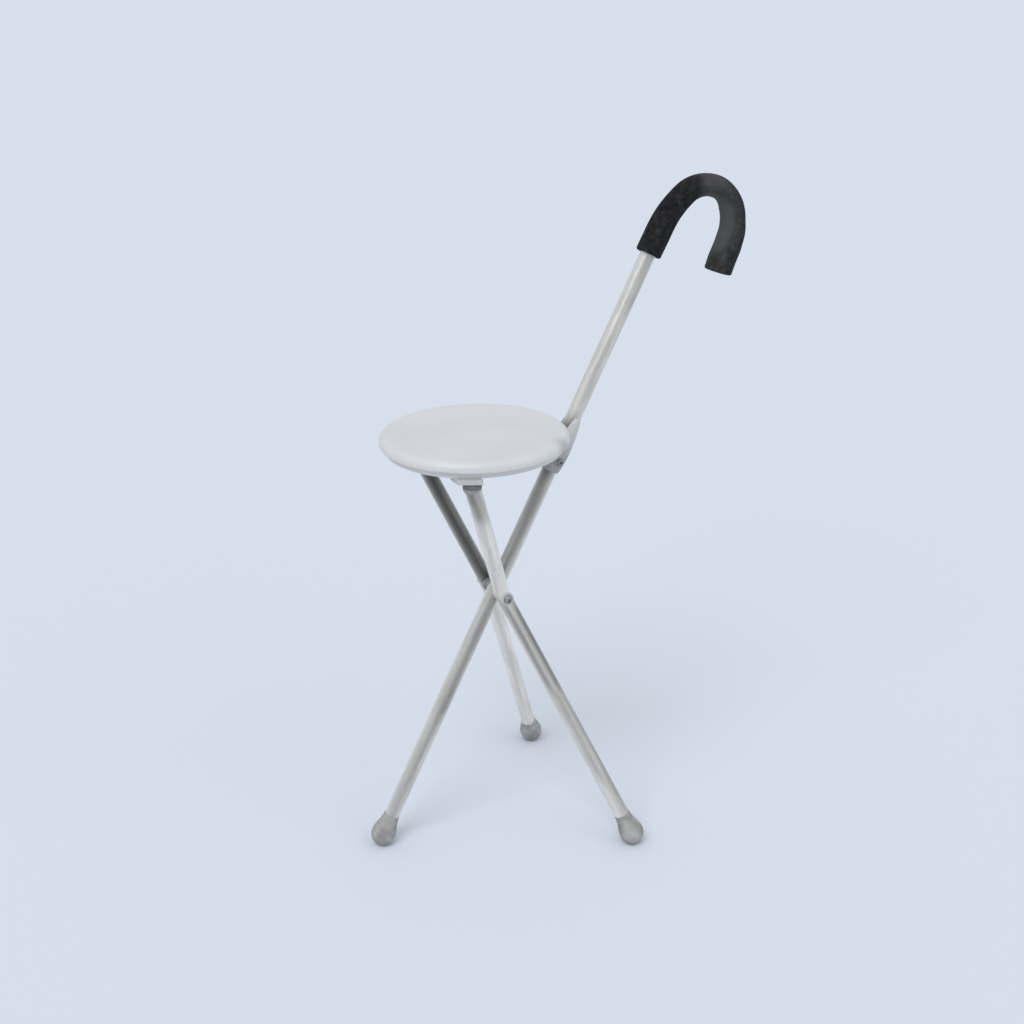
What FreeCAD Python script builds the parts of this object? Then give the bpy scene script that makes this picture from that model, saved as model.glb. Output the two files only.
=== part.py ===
import FreeCAD, Part
import math
import os
import Sketcher

os.makedirs("parts", exist_ok=True)
doc = FreeCAD.newDocument("walking_stick_seat")

# Driving dimensions: millimetres, and degrees for leans, splays and sweeps
DIMENSIONS = [
    ("tube_diameter", 19),
    ("tube_wall", 1.2),
    ("ball_radius", 15.6),
    ("foot_flat", 0.8),
    ("foot_bell_radius", 36),
    ("foot_top_radius", 10.3),
    ("foot_height", 28),
    ("cane_lean", 27.3),
    ("hub_along", 355),
    ("straight_length", 839),
    ("shoulder_radius", 120),
    ("shoulder_sweep", 25.6),
    ("crook_radius", 46.7),
    ("crook_sweep", 145.7),
    ("crook_tail", 47),
    ("grip_start", 810),
    ("grip_radius", 16),
    ("leg_bend_radius", 60),
    ("leg_bolt_offset", 25),
    ("cap_radius", 11.2),
    ("cap_skirt", 0.8),
    ("cap_clearance", 0.3),
    ("cap_spread", 89.9),
    ("hub_bolt_radius", 3.0),
    ("bush_radius", 5.0),
    ("pivot_clearance", 0.05),
    ("side_clearance", 0.3),
    ("hub_face", 12.5),
    ("hub_washer_face", 36.2),
    ("seat_centre_height", 533),
    ("seat_radius", 114),
    ("seat_tilt", 1),
    ("seat_top_height", 13),
    ("seat_base_height", 7),
    ("seat_dish", 1.2),
    ("seat_wall", 7),
    ("seat_rim_round", 9),
    ("seat_base_radius", 108.5),
    ("notch_clearance", 1.0),
    ("notch_half_width", 19.5),
    ("socket_back", 45.6),
    ("socket_height", 6.5),
    ("socket_roof", 1.2),
    ("slot_clearance", 0.45),
    ("socket_trim_radius", 112.2),
    ("bracket_below_hinge", 52.5),
    ("bracket_length", 72),
    ("bracket_belly_up", 28),
    ("bracket_belly_radius", 14.5),
    ("bracket_low_radius", 11.5),
    ("bracket_high_radius", 10.0),
    ("bracket_half_width", 14.2),
    ("bracket_bolt_up", 15),
    ("cheek_inner", 9.6),
    ("hinge_reach", 106.25),
    ("hinge_drop", 1.0),
    ("hinge_offset", 22.5),
    ("hinge_bolt_radius", 2.5),
    ("ear_radius", 6.5),
    ("knuckle_radius", 6.0),
    ("washer_thickness", 1.5),
]
sheet = doc.addObject("Spreadsheet::Sheet", "dims")
for row, (alias, number) in enumerate(DIMENSIONS, start=1):
    sheet.set("A%d" % row, alias)
    sheet.set("B%d" % row, str(number))
    sheet.setAlias("B%d" % row, alias)
doc.recompute()


class Size:
    """A number kept together with the sheet formula that gives it."""

    def __init__(self, value, formula):
        self.value = float(value)
        self.formula = formula

    def joined(self, other, sign, value):
        return Size(value, "(%s %s %s)" % (self.formula, sign, other.formula))

    def __add__(self, other):
        other = size(other)
        return self.joined(other, "+", self.value + other.value)

    def __sub__(self, other):
        other = size(other)
        return self.joined(other, "-", self.value - other.value)

    def __mul__(self, other):
        other = size(other)
        return self.joined(other, "*", self.value * other.value)

    def __truediv__(self, other):
        other = size(other)
        return self.joined(other, "/", self.value / other.value)

    def __radd__(self, other):
        return size(other) + self

    def __rsub__(self, other):
        return size(other) - self

    def __rmul__(self, other):
        return size(other) * self

    def __rtruediv__(self, other):
        return size(other) / self

    def __neg__(self):
        return Size(-self.value, "(0 - %s)" % self.formula)


def size(number):
    if isinstance(number, Size):
        return number
    return Size(number, "(%.9f)" % number)


def sine(angle):
    return Size(math.sin(math.radians(angle.value)), "sin(%s)" % angle.formula)


def cosine(angle):
    return Size(math.cos(math.radians(angle.value)), "cos(%s)" % angle.formula)


def tangent(angle):
    return Size(math.tan(math.radians(angle.value)), "tan(%s)" % angle.formula)


def root(number):
    return Size(math.sqrt(number.value), "sqrt(%s)" % number.formula)


def arc_tangent(number):
    return Size(math.degrees(math.atan(number.value)), "(atan(%s) / 1deg)" % number.formula)


def arc_sine(number):
    return Size(math.degrees(math.asin(number.value)), "(asin(%s) / 1deg)" % number.formula)


def arc_cosine(number):
    return Size(math.degrees(math.acos(number.value)), "(acos(%s) / 1deg)" % number.formula)


derived = doc.addObject("App::VarSet", "derived")


def follow(name, number):
    """Keep a size that follows from others as a named value of the document."""
    derived.addProperty("App::PropertyFloat", name, "Sizes")
    setattr(derived, name, number.value)
    derived.setExpression(name, number.formula)
    return Size(number.value, "derived." + name)


class Dims:
    """The sheet's aliases as attributes."""


d = Dims()
for alias, number in DIMENSIONS:
    setattr(d, alias, Size(number, "dims." + alias))

# Sizes that follow from the driving dimensions
tube_radius = d.tube_diameter / 2
bore_radius = tube_radius - d.tube_wall
ball_height = d.ball_radius - d.foot_flat
hub_across = follow("hub_across", d.hub_along * sine(d.cane_lean))
hub_height = follow("hub_height", ball_height + d.hub_along * cosine(d.cane_lean))

# The hinge lies on the cane's seat side at the seat's height, and the seat hangs from it
hinge_height = follow(
    "hinge_height",
    d.seat_centre_height + d.hinge_reach * sine(d.seat_tilt) - d.hinge_drop * cosine(d.seat_tilt),
)
hinge_along = follow(
    "hinge_along",
    (hinge_height - ball_height - d.hinge_offset * sine(d.cane_lean)) / cosine(d.cane_lean),
)
hinge_across = follow(
    "hinge_across", hinge_along * sine(d.cane_lean) - d.hinge_offset * cosine(d.cane_lean)
)
seat_centre_across = follow(
    "seat_centre_across",
    hinge_across - d.hinge_reach * cosine(d.seat_tilt) - d.hinge_drop * sine(d.seat_tilt),
)
bracket_start = follow("bracket_start", hinge_along - d.bracket_below_hinge)
bracket_bolt_along = bracket_start + d.bracket_bolt_up

# The legs run from their caps in the seat's sockets through the hub to the ground
seat_half_height = (d.seat_top_height + d.seat_base_height) / 2
socket_depth = d.socket_height - d.socket_roof
cap_below_seat = seat_half_height + d.socket_roof + d.cap_clearance + d.cap_radius
cap_across = follow(
    "cap_across",
    seat_centre_across - d.socket_back * cosine(d.seat_tilt) + cap_below_seat * sine(d.seat_tilt),
)
cap_height = follow(
    "cap_height",
    d.seat_centre_height
    - d.socket_back * sine(d.seat_tilt)
    - cap_below_seat * cosine(d.seat_tilt),
)
leg_plane_lean = follow(
    "leg_plane_lean", arc_tangent((hub_across - cap_across) / (cap_height - hub_height))
)
leg_up = follow("leg_up", (cap_height - hub_height) / cosine(leg_plane_lean))
bend_reach = d.cap_spread - d.leg_bolt_offset - d.leg_bend_radius
leg_splay = follow(
    "leg_splay",
    arc_tangent(bend_reach / leg_up)
    + arc_sine(d.leg_bend_radius / root(bend_reach * bend_reach + leg_up * leg_up)),
)
leg_down = follow("leg_down", (hub_height - ball_height) / cosine(leg_plane_lean))
foot_spread = follow(
    "foot_spread",
    d.leg_bolt_offset
    + d.leg_bend_radius * (1 - 1 / cosine(leg_splay))
    + leg_down * tangent(leg_splay),
)
leg_lean = follow("leg_lean", arc_cosine(cosine(leg_plane_lean) * cosine(leg_splay)))
cap_depth = cap_below_seat - seat_half_height - d.socket_height
slot_radius = root(d.cap_radius * d.cap_radius - cap_depth * cap_depth) + d.slot_clearance

bolt_hole = d.hub_bolt_radius + d.pivot_clearance
knuckle_hole = d.hinge_bolt_radius + d.pivot_clearance
cut_length = follow("cut_length", d.seat_radius * 2)

X_AXIS = FreeCAD.Vector(1, 0, 0)
Y_AXIS = FreeCAD.Vector(0, 1, 0)
Z_AXIS = FreeCAD.Vector(0, 0, 1)
bodies = []


def new_body(name):
    body = doc.addObject("PartDesign::Body", name)
    body.Label = name
    bodies.append(body)
    return body


def place(body, base, angle):
    """Put a body at base, turned about the Y axis."""
    across, side, height = [size(number) for number in base]
    angle = size(angle)
    body.Placement = FreeCAD.Placement(
        FreeCAD.Vector(across.value, side.value, height.value),
        FreeCAD.Rotation(Y_AXIS, angle.value),
    )
    body.setExpression("Placement.Base.x", across.formula)
    body.setExpression("Placement.Base.y", side.formula)
    body.setExpression("Placement.Base.z", height.formula)
    body.setExpression("Placement.Rotation.Angle", angle.formula)


def place_on_cane(body, along, off_axis=0.0, side=0.0):
    """Local Z runs up the cane, local X to its handle side."""
    across = along * sine(d.cane_lean) - off_axis * cosine(d.cane_lean)
    height = ball_height + along * cosine(d.cane_lean) + off_axis * sine(d.cane_lean)
    place(body, (across, side, height), d.cane_lean)


def place_on_leg(body, side=0.0):
    """Local YZ is the plane of the two legs, with the hub bolt at its origin."""
    place(body, (hub_across, side, hub_height), -leg_plane_lean)


def place_on_seat(body, lift):
    """Local XY is parallel to the seat, lift millimetres above its middle."""
    lift = size(lift)
    across = seat_centre_across - lift * sine(d.seat_tilt)
    height = d.seat_centre_height + lift * cosine(d.seat_tilt)
    place(body, (across, 0, height), -d.seat_tilt)


def origin_plane(body, letters):
    for feature in body.Origin.OriginFeatures:
        if feature.Role == letters + "_Plane":
            return feature
    raise ValueError(letters)


def origin_axis(body, letter):
    for feature in body.Origin.OriginFeatures:
        if feature.Role == letter + "_Axis":
            return feature
    raise ValueError(letter)


def new_sketch(body, name, letters):
    sketch = body.newObject("Sketcher::SketchObject", body.Name + "_" + name)
    sketch.AttachmentSupport = [(origin_plane(body, letters), "")]
    sketch.MapMode = "FlatFace"
    return sketch


def drive(sketch, constraint, wanted):
    index = sketch.addConstraint(constraint)
    sketch.setExpression("Constraints[%d]" % index, wanted.formula)


def fix_point(sketch, piece, point, across, up):
    drive(sketch, Sketcher.Constraint("DistanceX", -1, 1, piece, point, across.value), across)
    drive(sketch, Sketcher.Constraint("DistanceY", -1, 1, piece, point, up.value), up)


def draw_arc(sketch, start, end, radius, turn):
    """A short arc from start to end; turn is 1 for anticlockwise, -1 for clockwise."""
    half = (end - start) * 0.5
    reach = math.sqrt(radius.value ** 2 - half.Length ** 2)
    normal = FreeCAD.Vector(-half.y, half.x, 0).normalize()
    centre = start + half + normal * reach * turn
    first, last = (start, end) if turn > 0 else (end, start)
    low = math.atan2(first.y - centre.y, first.x - centre.x)
    high = math.atan2(last.y - centre.y, last.x - centre.x)
    if high < low:
        high += 2 * math.pi
    circle = Part.Circle(centre, Z_AXIS, radius.value)
    piece = sketch.addGeometry(Part.ArcOfCircle(circle, low, high), False)
    drive(sketch, Sketcher.Constraint("Radius", piece, radius.value), radius)
    return (piece, 1, 2) if turn > 0 else (piece, 2, 1)


def draw_line(sketch, start, end):
    return sketch.addGeometry(Part.LineSegment(start, end), False), 1, 2


def draw_outline(sketch, corners, closed=True):
    """Lines between corners (across, up); (across, up, radius, turn) starts an arc."""
    corners = [[size(number) for number in corner[:3]] + list(corner[3:]) for corner in corners]
    points = [FreeCAD.Vector(corner[0].value, corner[1].value, 0) for corner in corners]
    pieces = []
    count = len(corners) if closed else len(corners) - 1
    for index in range(count):
        corner = corners[index]
        start = points[index]
        end = points[(index + 1) % len(points)]
        if len(corner) == 4:
            pieces.append(draw_arc(sketch, start, end, corner[2], corner[3]))
        else:
            pieces.append(draw_line(sketch, start, end))
    for index, (piece, start, end) in enumerate(pieces):
        fix_point(sketch, piece, start, corners[index][0], corners[index][1])
        if closed or index + 1 < count:
            following, following_start, _ = pieces[(index + 1) % len(pieces)]
            join = Sketcher.Constraint("Coincident", piece, end, following, following_start)
            sketch.addConstraint(join)
    if not closed:
        piece, _, end = pieces[-1]
        fix_point(sketch, piece, end, corners[-1][0], corners[-1][1])


def draw_circle(sketch, across, up, radius):
    across, up, radius = size(across), size(up), size(radius)
    centre = FreeCAD.Vector(across.value, up.value, 0)
    piece = sketch.addGeometry(Part.Circle(centre, Z_AXIS, radius.value), False)
    drive(sketch, Sketcher.Constraint("Radius", piece, radius.value), radius)
    fix_point(sketch, piece, 3, across, up)


def outline(body, name, letters, corners, closed=True):
    sketch = new_sketch(body, name, letters)
    draw_outline(sketch, corners, closed)
    return sketch


def circles(body, name, letters, items):
    sketch = new_sketch(body, name, letters)
    for across, up, radius in items:
        draw_circle(sketch, across, up, radius)
    return sketch


def box_corners(left, low, right, high):
    return [(left, low), (right, low), (right, high), (left, high)]


def extrude(body, kind, name, profile, length, both=False, flip=False):
    """A Pad or Pocket; the sketch normal is -Y for XZ, +Z for XY and +X for YZ."""
    length = size(length)
    feature = body.newObject("PartDesign::" + kind, body.Name + "_" + name)
    feature.Profile = profile
    feature.Length = length.value
    feature.setExpression("Length", length.formula)
    if both:
        feature.SideType = "Symmetric"
    feature.Reversed = flip
    return feature


def pad(body, name, profile, length, both=False, flip=False):
    return extrude(body, "Pad", name, profile, length, both, flip)


def pocket(body, name, profile, length, both=False, flip=False):
    return extrude(body, "Pocket", name, profile, length, both, flip)


def revolve(body, name, profile, about="V_Axis"):
    feature = body.newObject("PartDesign::Revolution", body.Name + "_" + name)
    feature.Profile = profile
    feature.ReferenceAxis = (profile, [about])
    feature.Angle = 360
    return feature


def sweep(body, kind, name, profile, path):
    feature = body.newObject("PartDesign::" + kind, body.Name + "_" + name)
    feature.Profile = profile
    feature.Spine = (path, [])
    return feature


def round_edges(body, name, radius, wanted, kind="Fillet"):
    """Round the edges whose middle point passes the test."""
    doc.recompute()
    names = []
    for index, edge in enumerate(body.Tip.Shape.Edges, start=1):
        middle = edge.valueAt((edge.FirstParameter + edge.LastParameter) / 2)
        if wanted(edge, middle):
            names.append("Edge%d" % index)
    if not names:
        raise ValueError("no edge for " + body.Name + "_" + name)
    radius = size(radius)
    base = body.Tip
    feature = body.newObject("PartDesign::" + kind, body.Name + "_" + name)
    feature.Base = (base, names)
    prop = "Radius" if kind == "Fillet" else "Size"
    setattr(feature, prop, radius.value)
    feature.setExpression(prop, radius.formula)
    return feature


# Cane tube: straight, a long easy bend at the shoulder, then the tight bend of the crook
crook_turn = d.shoulder_sweep + d.crook_sweep
shoulder_across = d.shoulder_radius * (1 - cosine(d.shoulder_sweep))
shoulder_up = d.straight_length + d.shoulder_radius * sine(d.shoulder_sweep)
bend_end_across = (
    shoulder_across + d.crook_radius * (cosine(d.shoulder_sweep) - cosine(crook_turn))
)
bend_end_up = shoulder_up + d.crook_radius * (sine(crook_turn) - sine(d.shoulder_sweep))
crook_end_across = follow("crook_end_across", bend_end_across + d.crook_tail * sine(crook_turn))
crook_end_up = follow("crook_end_up", bend_end_up + d.crook_tail * cosine(crook_turn))


def crook_path(body, start):
    corners = [
        (0, 0),
        (0, d.straight_length - start, d.shoulder_radius, -1),
        (shoulder_across, shoulder_up - start, d.crook_radius, -1),
        (bend_end_across, bend_end_up - start),
        (crook_end_across, crook_end_up - start),
    ]
    return outline(body, "path", "XZ", corners, closed=False)


cane_tube = new_body("cane_tube")
place_on_cane(cane_tube, size(0))
tube_path = crook_path(cane_tube, size(0))
tube_ring = circles(cane_tube, "ring", "XY", [(0, 0, tube_radius), (0, 0, bore_radius)])
sweep(cane_tube, "AdditivePipe", "tube", tube_ring, tube_path)
tube_holes = circles(
    cane_tube,
    "holes",
    "XZ",
    [(0, d.hub_along, d.bush_radius), (0, bracket_bolt_along, d.hinge_bolt_radius)],
)
pocket(cane_tube, "cross_holes", tube_holes, d.tube_diameter * 2, both=True)

# Plug that closes the tube under the foam's end
grip_end_plug = new_body("grip_end_plug")
plug_length = 14
plug_head = 1.5
place(
    grip_end_plug,
    (
        crook_end_up * sine(d.cane_lean) + crook_end_across * cosine(d.cane_lean),
        0,
        ball_height + crook_end_up * cosine(d.cane_lean) - crook_end_across * sine(d.cane_lean),
    ),
    d.cane_lean + crook_turn,
)
plug_profile = outline(
    grip_end_plug,
    "profile",
    "XZ",
    [
        (0, -plug_length),
        (bore_radius - 1, -plug_length),
        (bore_radius, 1 - plug_length),
        (bore_radius, 0),
        (tube_radius, 0),
        (tube_radius, plug_head),
        (0, plug_head),
    ],
)
revolve(grip_end_plug, "plug", plug_profile)

# Foam grip: a sleeve over the crook with a closed, rounded end
foam_grip = new_body("foam_grip")
place_on_cane(foam_grip, d.grip_start)
grip_path = crook_path(foam_grip, d.grip_start)
grip_ring = circles(foam_grip, "ring", "XY", [(0, 0, d.grip_radius), (0, 0, tube_radius)])
sweep(foam_grip, "AdditivePipe", "sleeve", grip_ring, grip_path)
foam_end = 3.0


def grip_point(radial, beyond):
    """A point near the grip's end: radial from its centre line, beyond the tube's end."""
    across = crook_end_across + beyond * sine(crook_turn) + radial * cosine(crook_turn)
    up = crook_end_up - d.grip_start + beyond * cosine(crook_turn) - radial * sine(crook_turn)
    return across, up


end_profile = outline(
    foam_grip,
    "end_profile",
    "XZ",
    [
        grip_point(size(0), size(plug_head)),
        grip_point(tube_radius, size(plug_head)),
        grip_point(tube_radius, size(0)),
        grip_point(d.grip_radius, size(0)),
        grip_point(d.grip_radius, size(0.2)),
        grip_point(d.grip_radius - 1.2, size(2.2)),
        grip_point(d.grip_radius - 3.6, size(foam_end + 0.6)),
        grip_point(d.grip_radius - 7.0, size(foam_end + 1.4)),
        grip_point(size(0), size(foam_end + 1.6)),
    ],
)
end_line = new_sketch(foam_grip, "end_line", "XZ")
draw_outline(
    end_line,
    [grip_point(size(0), size(0)), grip_point(size(0), d.crook_tail)],
    closed=False,
)
end_turn = foam_grip.newObject("PartDesign::Revolution", "foam_grip_end")
end_turn.Profile = end_profile
end_turn.ReferenceAxis = (end_line, ["Edge1"])
end_turn.Angle = 360


def lower_rim(edge, middle):
    """The outer edge of the sleeve's lower end."""
    outside = abs(math.hypot(middle.x, middle.y) - d.grip_radius.value) < 0.01
    return abs(middle.z) < 0.01 and outside


round_edges(foam_grip, "lower_round", 2.0, lower_rim)


# Feet: one bell-shaped rubber moulding, its ball end cut flat where it meets the ground
def foot_profile(body):
    narrowing = d.ball_radius - d.foot_top_radius
    both_radii = (d.foot_height * d.foot_height + narrowing * narrowing) / (2 * narrowing)
    share = d.foot_bell_radius / both_radii
    lip = 0.5
    return outline(
        body,
        "profile",
        "XZ",
        [
            (0, -d.ball_radius, d.ball_radius, 1),
            (d.ball_radius, 0, d.foot_bell_radius, 1),
            (
                d.ball_radius - narrowing * share,
                d.foot_height * share,
                both_radii - d.foot_bell_radius,
                -1,
            ),
            (d.foot_top_radius, d.foot_height),
            (d.foot_top_radius - lip, d.foot_height + lip),
            (tube_radius, d.foot_height + lip),
            (tube_radius, -d.washer_thickness),
            (0, -d.washer_thickness),
        ],
    )


def make_foot(body, lean):
    """Revolve the foot, then cut it along the ground, which leans by lean in local XZ."""
    revolve(body, "bell", foot_profile(body))
    middle_across = ball_height * sine(lean)
    middle_up = -(ball_height * cosine(lean))
    reach = d.ball_radius * 2
    deep = d.ball_radius
    ground = outline(
        body,
        "ground",
        "XZ",
        [
            (middle_across - reach * cosine(lean), middle_up - reach * sine(lean)),
            (
                middle_across - reach * cosine(lean) + deep * sine(lean),
                middle_up - reach * sine(lean) - deep * cosine(lean),
            ),
            (
                middle_across + reach * cosine(lean) + deep * sine(lean),
                middle_up + reach * sine(lean) - deep * cosine(lean),
            ),
            (middle_across + reach * cosine(lean), middle_up + reach * sine(lean)),
        ],
    )
    pocket(body, "flat", ground, d.ball_radius * 4, both=True)


cane_foot = new_body("cane_foot")
place_on_cane(cane_foot, size(0))
make_foot(cane_foot, d.cane_lean)


def make_foot_washer(body):
    disc = circles(body, "disc", "XY", [(0, 0, tube_radius - 0.2)])
    pad(body, "plate", disc, d.washer_thickness, flip=True)


cane_foot_washer = new_body("cane_foot_washer")
place_on_cane(cane_foot_washer, size(0))
make_foot_washer(cane_foot_washer)

# Legs: two mirror-image bent tubes crossing the cane on one bolt
leg_lower_axis = FreeCAD.Vector(
    -math.sin(math.radians(leg_plane_lean.value)) * math.cos(math.radians(leg_splay.value)),
    math.sin(math.radians(leg_splay.value)),
    math.cos(math.radians(leg_plane_lean.value)) * math.cos(math.radians(leg_splay.value)),
)


def leg_path(body, side, upward):
    """Half of a leg's centre line in local YZ, from the bolt outwards."""
    bend_across = d.leg_bolt_offset + d.leg_bend_radius * (1 - cosine(leg_splay))
    bend_up = d.leg_bend_radius * sine(leg_splay)
    if upward:
        corners = [
            (side * d.leg_bolt_offset, size(0), d.leg_bend_radius, -side),
            (side * bend_across, bend_up),
            (side * d.cap_spread, leg_up),
        ]
    else:
        corners = [
            (side * d.leg_bolt_offset, size(0), d.leg_bend_radius, side),
            (side * bend_across, -bend_up),
            (side * foot_spread, -leg_down),
        ]
    name = "path_up" if upward else "path_down"
    return outline(body, name, "YZ", corners, closed=False)


def leg_cut(body, side):
    """Remove the space of the leg tube from a hub piece."""
    for upward in (True, False):
        name = "up" if upward else "down"
        path = leg_path(body, side, upward)
        ring = circles(body, "ring_" + name, "XY", [(0, side * d.leg_bolt_offset, tube_radius)])
        sweep(body, "SubtractivePipe", "cut_" + name, ring, path)


def make_leg(word, side):
    """One leg with its cap, bush, washer and foot; side is -1 in front, 1 behind."""
    tube = new_body("leg_%s_tube" % word)
    place_on_leg(tube)
    for upward in (True, False):
        name = "up" if upward else "down"
        path = leg_path(tube, side, upward)
        radii = (tube_radius, bore_radius)
        ring = circles(
            tube,
            "ring_" + name,
            "XY",
            [(0, side * d.leg_bolt_offset, radius) for radius in radii],
        )
        sweep(tube, "AdditivePipe", "half_" + name, ring, path)
    hole = circles(tube, "hole", "XZ", [(0, 0, d.bush_radius)])
    pocket(tube, "bush_hole", hole, d.hub_washer_face * 3, both=True)

    cap = new_body("leg_%s_top_cap" % word)
    upper_turn = FreeCAD.Rotation(Y_AXIS, -leg_plane_lean.value).multiply(
        FreeCAD.Rotation(X_AXIS, -side * leg_splay.value)
    )
    cap.Placement = FreeCAD.Placement(
        FreeCAD.Vector(cap_across.value, side * d.cap_spread.value, cap_height.value),
        upper_turn,
    )
    cap_profile = outline(
        cap,
        "profile",
        "XZ",
        [
            (0, -12),
            (bore_radius - 1, -12),
            (bore_radius, -11),
            (bore_radius, 0),
            (tube_radius, 0),
            (tube_radius, -d.cap_skirt),
            (d.cap_radius - d.cap_skirt / 2, -d.cap_skirt),
            (d.cap_radius, -d.cap_skirt / 2),
            (d.cap_radius, 0, d.cap_radius, 1),
            (0, d.cap_radius),
        ],
    )
    revolve(cap, "cap", cap_profile)

    bush = new_body("leg_%s_bush" % word)
    place_on_leg(bush)
    inner_face = d.hub_face + d.side_clearance
    flange = circles(bush, "flange", "XZ", [(0, 0, 9)])
    pad(bush, "flange_disc", flange, d.leg_bolt_offset, flip=side > 0)
    leg_cut(bush, side)
    face = circles(bush, "face", "XZ", [(0, 0, 12)])
    pocket(bush, "face_cut", face, inner_face, flip=side < 0)
    sleeve = circles(bush, "sleeve", "XZ", [(0, 0, d.bush_radius)])
    sleeve_end = d.leg_bolt_offset + tube_radius - 0.1
    pad(bush, "sleeve_rod", sleeve, sleeve_end, flip=side > 0)
    again = circles(bush, "face_again", "XZ", [(0, 0, 12)])
    pocket(bush, "face_trim", again, inner_face, flip=side < 0)
    bore = circles(bush, "bore", "XZ", [(0, 0, bolt_hole)])
    pocket(bush, "bore_hole", bore, d.hub_washer_face * 3, both=True)

    washer = new_body("leg_%s_washer" % word)
    place_on_leg(washer)
    disc = circles(washer, "disc", "XZ", [(0, 0, 8.0)])
    pad(washer, "disc_rod", disc, d.hub_washer_face, flip=side > 0)
    leg_cut(washer, side)
    inside = circles(washer, "inside", "XZ", [(0, 0, 12)])
    pocket(washer, "inside_cut", inside, d.leg_bolt_offset, flip=side < 0)
    sleeve_room = circles(washer, "sleeve_room", "XZ", [(0, 0, d.bush_radius)])
    pocket(washer, "sleeve_room_cut", sleeve_room, sleeve_end, flip=side < 0)
    bore = circles(washer, "bore", "XZ", [(0, 0, bolt_hole)])
    pocket(washer, "bore_hole", bore, d.hub_washer_face * 3, both=True)

    foot = new_body("leg_%s_foot" % word)
    azimuth = math.degrees(math.atan2(-side * leg_lower_axis.y, leg_lower_axis.x))
    foot_place = FreeCAD.Placement(
        FreeCAD.Vector(
            hub_across.value + leg_down.value * math.sin(math.radians(leg_plane_lean.value)),
            side * foot_spread.value,
            ball_height.value,
        ),
        FreeCAD.Rotation(Z_AXIS, azimuth).multiply(FreeCAD.Rotation(Y_AXIS, leg_lean.value)),
    )
    foot.Placement = foot_place
    make_foot(foot, leg_lean)

    plate = new_body("leg_%s_foot_washer" % word)
    plate.Placement = foot_place
    make_foot_washer(plate)


make_leg("front", -1)
make_leg("back", 1)


# Hub pieces on the cane
hub_bush_length = d.tube_diameter - 0.4


def hub_spacer(word, side):
    body = new_body("hub_spacer_" + word)
    place_on_cane(body, d.hub_along)
    disc = circles(body, "disc", "XZ", [(0, 0, 8.0)])
    pad(body, "rod", disc, d.hub_face, flip=side > 0)
    cane = circles(body, "cane", "XY", [(0, 0, tube_radius)])
    pocket(body, "saddle", cane, d.tube_diameter * 3, both=True)
    bush_end = circles(body, "bush_end", "XZ", [(0, 0, d.bush_radius)])
    pocket(body, "bush_end_hole", bush_end, hub_bush_length, both=True)
    bore = circles(body, "bore", "XZ", [(0, 0, bolt_hole)])
    pocket(body, "bore_hole", bore, d.hub_face * 4, both=True)


hub_spacer("front", -1)
hub_spacer("back", 1)

cane_hub_bush = new_body("cane_hub_bush")
place_on_cane(cane_hub_bush, d.hub_along)
bush_ring = circles(cane_hub_bush, "ring", "XZ", [(0, 0, d.bush_radius), (0, 0, bolt_hole)])
pad(cane_hub_bush, "sleeve", bush_ring, hub_bush_length, both=True)


def make_bolt(name, along, off_axis, radius, seat_face, end_face, head_radius, head_height):
    """A round-headed bolt along Y: its head bears on -seat_face, its end is at end_face."""
    body = new_body(name)
    place_on_cane(body, size(along), size(off_axis))
    head = -(seat_face + head_height)
    profile = outline(
        body,
        "profile",
        "XY",
        [
            (0, head),
            (head_radius * 0.45, head),
            (head_radius * 0.75, head + head_height * 0.16),
            (head_radius * 0.94, head + head_height * 0.45),
            (head_radius, head + head_height * 0.8),
            (head_radius, -seat_face),
            (radius, -seat_face),
            (radius, end_face - 0.6),
            (radius - 0.6, end_face),
            (0, end_face),
        ],
    )
    revolve(body, "bolt", profile)
    hexagon = []
    for corner in range(6):
        angle = math.radians(60 * corner)
        hexagon.append((head_radius * math.cos(angle) * 0.42, head_radius * math.sin(angle) * 0.42))
    drive_sketch = outline(body, "key", "XZ", hexagon)
    recess = pocket(body, "key_hole", drive_sketch, head_height * 0.55)
    drive_sketch.AttachmentOffset = FreeCAD.Placement(
        FreeCAD.Vector(0, 0, -head.value), FreeCAD.Rotation()
    )
    drive_sketch.setExpression("AttachmentOffset.Base.z", (-head).formula)
    recess.Reversed = False


def make_nut(name, along, off_axis, radius, seat_face, flats, thickness):
    """A hexagon nut along Y that bears on +seat_face."""
    body = new_body(name)
    place_on_cane(body, size(along), size(off_axis), seat_face)
    corner_radius = flats / math.sqrt(3)
    hexagon = []
    for corner in range(6):
        angle = math.radians(60 * corner + 30)
        hexagon.append((corner_radius * math.cos(angle), corner_radius * math.sin(angle)))
    block = outline(body, "hexagon", "XZ", hexagon)
    pad(body, "block", block, thickness, flip=True)
    corner_cut = outline(
        body,
        "corner_cut",
        "XY",
        [
            (flats / 2, thickness),
            (corner_radius + 1, thickness),
            (corner_radius + 1, thickness - 1.2),
        ],
    )
    groove = body.newObject("PartDesign::Groove", body.Name + "_chamfer")
    groove.Profile = corner_cut
    groove.ReferenceAxis = (corner_cut, ["V_Axis"])
    groove.Angle = 360
    bore = circles(body, "bore", "XZ", [(0, 0, radius)])
    pocket(body, "bore_hole", bore, thickness * 4, both=True)


head_face = d.hub_washer_face + d.side_clearance
hub_nut_height = 5.0
make_bolt("hub_bolt", d.hub_along, 0, d.hub_bolt_radius, head_face, head_face + 6.5, size(5.6),
          size(3.4))
make_nut("hub_nut", d.hub_along, 0, d.hub_bolt_radius, head_face, 10.0, hub_nut_height)

# Moulded bracket: a barrel-shaped collar round the cane with two ears for the seat's hinge
cane_bracket = new_body("cane_bracket")
place_on_cane(cane_bracket, bracket_start)


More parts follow.
